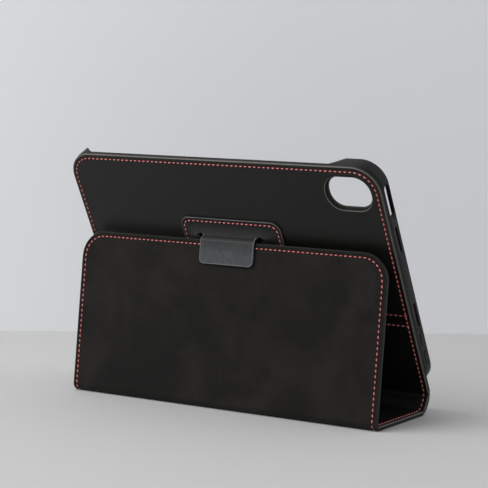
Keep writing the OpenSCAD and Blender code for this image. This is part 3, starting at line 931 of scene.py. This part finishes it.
# ---- Volume pads ----
# Two small pads in the right wall. Each slides in its hole over the tablet's own button, and a flange
# behind the wall keeps it in.
pad_dome = 0.25 * mm
for node, centre, (low, high) in zip(("volume_up", "volume_down"), pads_at, pad_boxes):
    mesh, rim = new_mesh()
    rings = []
    for inset, x in ((0, flange_x + flange_t), (0, high.x - pad_dome), (0.07 * mm, high.x - 0.07 * mm),
                     (0.3 * mm, high.x), (0.8 * mm, high.x + 0.03 * mm)):
        loop = stadium(shell_mid + centre, pad_l - 2 * inset, pad_w - 2 * inset)
        rings.append([mesh.verts.new(on_back(x, s, slot_t + t)) for s, t in loop])
    enclose(mesh, rings)
    half_l, half_t = pad_l / 2 + flange_over, pad_w / 2 + flange_over
    outline = [(shell_mid + centre + s * half_l, slot_t + t * half_t)
               for s, t in ((-1, -1), (1, -1), (1, 1), (-1, 1))]
    prism(mesh, outline, lambda s, t, x: on_back(x, s, t), flange_x, flange_x + flange_t - layer_gap)
    pad = finished(mesh, f"{node}_pad", [tpu])
    settle(pad, f"{node}_pad", node)

# ---- Stitching ----
# Red lockstitch along every edge, round the tab patch and in two rows across the waist. Each stitch
# is a short arch of thread whose ends dip into the leather. They are set along lines on the mesh.
thread_pitch = 2.9 * mm
thread_w = 0.62 * mm
stitch_l = 0.69 * thread_pitch
stitch_rise, stitch_sink = 0.72 * mm, 0.36 * mm
stitch_slant, stitch_seed = 0.1, 3

thread, tree, shader, place = new_finish("red_thread")
strand = attribute(tree, "strand", "Vector")
ply = add(tree, "ShaderNodeTexWave", {"bands_direction": "DIAGONAL"}, Vector=strand, Scale=420,
          Distortion=0.6)
# Painted highlight and shade: each stitch's crest is a random mix of red and pale pink, the pink a painted
# highlight, and it turns dark red towards its ends, where it sinks into the leather, as painted shade.
glint_noise = noise(tree, place, 700, 2)
crest = add(tree, "ShaderNodeSeparateXYZ", Vector=strand)
painted_end_shade = remap(tree, maths(tree, "ABSOLUTE", (crest, "X")), 0.0002, 0.0009, settings=smooth_step)
crest_with_painted_glint = blend_colour(tree, glint_noise, (0.92, 0.19, 0.17, 1), (1.0, 0.43, 0.4, 1))
tone = blend_colour(tree, painted_end_shade, crest_with_painted_glint, (0.2, 0.005, 0.006, 1))
plug(tree, shader, Base_Color=tone, Normal=bump(tree, (ply, "Fac"), 0.35, 0.00006), Roughness=0.3,
     Sheen_Weight=0.1)


def make_stitches():
    """Sets arched stitches along lines whose points carry the direction that leads out of the leather."""
    tree = bpy.data.node_groups.new("stitches", "GeometryNodeTree")
    for side in ("INPUT", "OUTPUT"):
        tree.interface.new_socket("Geometry", in_out=side, socket_type="NodeSocketGeometry")
    given, out = tree.nodes.new("NodeGroupInput"), tree.nodes.new("NodeGroupOutput")
    vectors = {"data_type": "FLOAT_VECTOR"}

    def shape(kind, output="Geometry", settings=None, **sockets):
        return add(tree, "GeometryNode" + kind, settings, **sockets), output

    def value(kind, output="Rotation", settings=None, **sockets):
        return add(tree, "FunctionNode" + kind, settings, **sockets), output

    def random(low, high, seed):
        return value("RandomValue", 1, {"data_type": "FLOAT"}, i2=low, i3=high, Seed=seed)

    line = shape("MeshToCurve", "Curve", Mesh=(given, "Geometry"))
    share = maths(tree, "DIVIDE", shape("SplineLength", "Length"), thread_pitch)
    count = value("FloatToInt", "Integer", {"rounding_mode": "ROUND"},
                  Float=maths(tree, "MAXIMUM", share, 1.0))
    spaced = shape("ResampleCurve", "Curve", {"mode": "COUNT"}, Curve=line,
                   Count=maths(tree, "ADD", count, 1.0))
    marked = shape("StoreNamedAttribute", settings=vectors, Geometry=spaced, Name="run",
                   i3=shape("InputTangent", "Tangent"))
    runs = shape("CurveToMesh", "Mesh", Curve=marked)
    spots = shape("MeshToPoints", "Points", {"mode": "EDGES"}, Mesh=runs)

    arch = shape("CurveQuadraticBezier", "Curve", Resolution=6, Middle=(0, 0, stitch_rise),
                 Start=(-stitch_l / 2, 0, -stitch_sink), End=(stitch_l / 2, 0, -stitch_sink))
    ring = shape("CurvePrimitiveCircle", "Curve", Resolution=7, Radius=thread_w / 2)
    stitch = shape("CurveToMesh", "Mesh", Curve=arch, Profile_Curve=ring, Fill_Caps=True)
    strand = shape("StoreNamedAttribute", settings=vectors, Geometry=stitch, Name="strand",
                   i3=shape("InputPosition", "Position"))

    headed = value("AlignRotationToVector", settings={"axis": "X"},
                   Vector=shape("InputNamedAttribute", "Attribute", vectors, Name="run"))
    stood = value("AlignRotationToVector", settings={"axis": "Z", "pivot_axis": "X"}, Rotation=headed,
                  Vector=shape("InputNamedAttribute", "Attribute", vectors, Name="lift"))
    slant = maths(tree, "ADD", random(-0.05, 0.05, stitch_seed), stitch_slant)
    lean = value("EulerToRotation", Euler=(add(tree, "ShaderNodeCombineXYZ", Z=slant), 0))
    leaning = value("RotateRotation", settings={"rotation_space": "LOCAL"}, Rotation=stood, Rotate_By=lean)
    sewn = shape("InstanceOnPoints", "Instances", Points=spots, Instance=strand, Rotation=leaning,
                 Scale=random(0.93, 1.05, stitch_seed + 1))
    plug(tree, out, Geometry=shape("SetShadeSmooth", Geometry=shape("RealizeInstances", Geometry=sewn)))
    return tree


stitches = make_stitches()


def sew(name, lines):
    """Stitches along lines of (point, outward direction), made into one plain mesh."""
    guide = bpy.data.meshes.new(f"{name}_guide")
    points = [point for line in lines for point, _ in line]
    guide.from_pydata(points, chained(lines, False), [])
    lift = guide.attributes.new("lift", "FLOAT_VECTOR", "POINT")
    lift.data.foreach_set("vector", [value for line in lines for _, out in line for value in out])
    piece = in_scene(name, guide)
    modify(piece, "NODES", node_group=stitches)
    made = plain_mesh(piece)
    made.materials.clear()
    made.materials.append(thread)
    made.polygons.foreach_set("material_index", [0] * len(made.polygons))
    return piece


def border_line(half_w, foot, top, radius, inset):
    return rounded_loop(half_w, foot, top, radius, inset, [foot, top - radius], [0])


def seam_line(place, loop, t, heading):
    return [(place(x, s, t), outward(heading)) for x, s in loop]


def side_lines(path):
    """The border seams down both sides of a strip, on its leather side and on its lining side."""
    return [[(point + Vector((x, 0, 0)) + share * t * outward(heading), sign * outward(heading))
             for point, heading, share in path]
            for x in (seam_in - half_w, half_w - seam_in) for t, sign in ((back_face, 1), (back_inner, -1))]


waist_in = 1.4 * mm
waist_lines = [[(waist_in - half_w, s), (half_w - waist_in, s)] for s in waist_rows]
patch_border = border_line(patch_half, patch_foot, patch_top, patch_r, patch_seam)
for name, node, lines, face in (
        ("back_border_stitches", "back_thread", [border_line(*back_outline, seam_in)], back_face),
        ("waist_stitches", "waist_thread", waist_lines, back_face),
        ("patch_stitches", "tab_thread", [patch_border], patch_face)):
    sewn = sew(name, [seam_line(on_back, line, face, BACK) for line in lines])
    settle(sewn, "holder", node)
for name, body, path in strips:
    settle(sew(f"{name}_stitches", side_lines(path)), body, f"{name}_thread")

border = border_line(*upright_outline, seam_in)
sewn = sew("upright_stitches", [
    seam_line(on_upright, border, back_face, UPRIGHT),
    [(on_upright(x, s, back_inner), -outward(UPRIGHT)) for x, s in border]])
settle(sewn, "upright_section", "upright_thread")
for name, bodies, path in folds:
    sewn = sew(f"{name}_fold_stitches", side_lines(path))
    bridge(sewn)

# ---- Boards and magnets ----
# Grey stiffener boards lie between the leather and the lining, and three plated magnets that wake the
# tablet sit in a gap of the upright's board. They are seen only when the cover is taken apart.
board, tree, shader, pulp = clouded_finish("grey_board", 600, 5, (0.2, 0.18, 0.15, 1), (0.32, 0.29, 0.25, 1))
plug(tree, shader, Normal=bump(tree, pulp, 0.2, 0.0001), Roughness=0.9)
magnet, tree, shader, haze = clouded_finish("plated_magnet", 900, 3,
                                            (0.5, 0.5, 0.5, 1), (0.62, 0.61, 0.6, 1))
plug(tree, shader, Roughness=remap(tree, haze, 0, 1, 0.2, 0.42), Metallic=1)
boards = ("back_board_upper", "back_board_lower", "spine_board", "floor_board", "upright_board")
for node in (*boards, "wake_magnets"):
    materials = frame["nodes"][node].data.materials
    materials.clear()
    materials.append(board if node in boards else magnet)

# ---- Stage, light and camera ----
# A plain pale floor and wall, soft light from the upper left, and the camera behind the case.
def stage_finish(name, colour):
    """A pale matt finish that is clear from behind."""
    finish, tree, shader, _ = clouded_finish(name, 6, 3, (*(0.97 * c for c in colour), 1), (*colour, 1))
    plug(tree, shader, Roughness=0.85, Specular_IOR_Level=0.2)
    see_through = add(tree, "ShaderNodeBsdfTransparent")
    side = add(tree, "ShaderNodeNewGeometry")
    mix = add(tree, "ShaderNodeMixShader", i0=(side, "Backfacing"), i1=(shader, "BSDF"),
              i2=(see_through, "BSDF"))
    plug(tree, tree.nodes["Material Output"], Surface=(mix, 0))
    return finish


view_azimuth = radians(33.458)
view_elevation = radians(6.445)
view_roll = radians(0.393)
view_distance = 1.0139
aim = Vector((0, -0.004, 0.0885))
ahead = Vector((-sin(view_azimuth), cos(view_azimuth), 0))
across_view = Vector((cos(view_azimuth), sin(view_azimuth), 0))
wall_distance = 0.24
stage_reach = 4.0
stage_drop = 0.06 * mm

corner = wall_distance * ahead - Vector((0, 0, stage_drop))
left, right = corner - stage_reach * across_view, corner + stage_reach * across_view
for name, reach, order, finish in (
        ("studio_floor", -2 * stage_reach * ahead, (3, 2, 1, 0),
         stage_finish("pale_floor", (0.56, 0.56, 0.555))),
        ("studio_wall", Vector((0, 0, stage_reach)), (0, 1, 2, 3),
         stage_finish("pale_wall", (0.88, 0.89, 0.91)))):
    data = bpy.data.meshes.new(name)
    data.from_pydata([left, right, right + reach, left + reach], [], [order])
    data.materials.append(finish)
    in_scene(name, data)


def aimed(name, data, azimuth, elevation, distance):
    """A light or a camera that looks at the middle of the case from a direction and a distance."""
    away = Vector((sin(azimuth) * cos(elevation), -cos(azimuth) * cos(elevation),
                   sin(elevation)))
    thing = in_scene(name, data)
    thing.location = aim + distance * away
    thing.rotation_mode = "QUATERNION"
    thing.rotation_quaternion = (-away).to_track_quat("-Z", "Y")
    return thing


def lamp(name, azimuth, elevation, distance, size, power):
    light = bpy.data.lights.new(name, "AREA")
    light.shape, light.size, light.energy = "SQUARE", size, power
    aimed(name, light, radians(azimuth), radians(elevation), distance)


lamp("window_light", -38, 43, 1.5, 1.2, 17)
lamp("fill_light", 110, 35, 1.6, 1.0, 2.5)

world = bpy.data.worlds.new("studio")
bpy.context.scene.world = world
world.use_nodes = True
sky = world.node_tree.nodes["Background"]
rays = add(world.node_tree, "ShaderNodeLightPath")
shade = blend_colour(world.node_tree, (rays, "Is Camera Ray"), (0.45, 0.45, 0.46, 1), (0.6, 0.61, 0.63, 1))
plug(world.node_tree, sky, Color=shade, Strength=1)

camera_data = bpy.data.cameras.new("camera")
camera_data.sensor_width = 36
camera_data.lens = 136
camera_data.clip_start, camera_data.clip_end = 0.01, 20
camera = aimed("camera", camera_data, view_azimuth, view_elevation, view_distance)
camera.rotation_quaternion = camera.rotation_quaternion @ Matrix.Rotation(view_roll, 4, "Z").to_quaternion()
bpy.context.scene.camera = camera
bpy.context.scene.view_settings.view_transform = "Standard"
